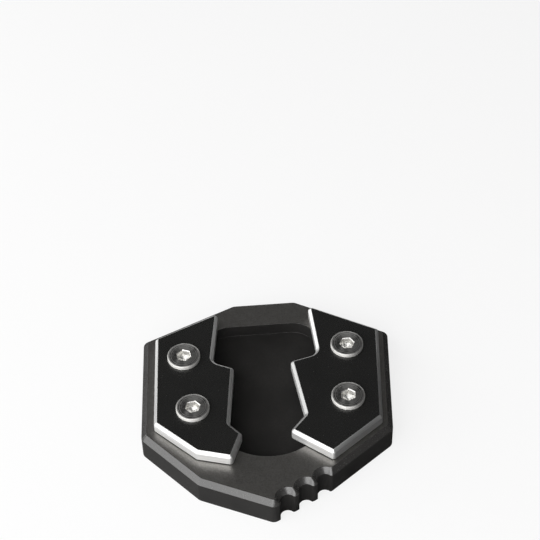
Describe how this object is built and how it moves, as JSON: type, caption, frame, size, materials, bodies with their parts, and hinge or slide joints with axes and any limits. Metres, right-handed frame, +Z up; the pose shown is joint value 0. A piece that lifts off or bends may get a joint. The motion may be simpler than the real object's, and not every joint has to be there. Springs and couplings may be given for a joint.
{
  "type": "kickstand foot enlarger",
  "caption": "Flat angular foot enlarger for a motorcycle side stand: black base with a foot pocket, bright-edged clamp plates and low socket-head screws.",
  "frame": {"origin": "middle of the base plate's underside", "axes": "+Z up, +Y to the rear where the stand's leg rises, +X to the right seen from the front"},
  "size_m": [0.0816, 0.0832, 0.0148],
  "materials": {
    "base_black_anodised": "matte black anodised over a fine blasted grain",
    "plate_black_anodised": "satin black anodised faces with bare machined chamfers and walls",
    "stainless_steel": "turned stainless steel"
  },
  "bodies": {
    "root": {"base_plate": "base_black_anodised", "left_clamp_plate": "plate_black_anodised", "right_clamp_plate": "plate_black_anodised", "clamp_screws": "stainless_steel"}
  },
  "joints": []
}
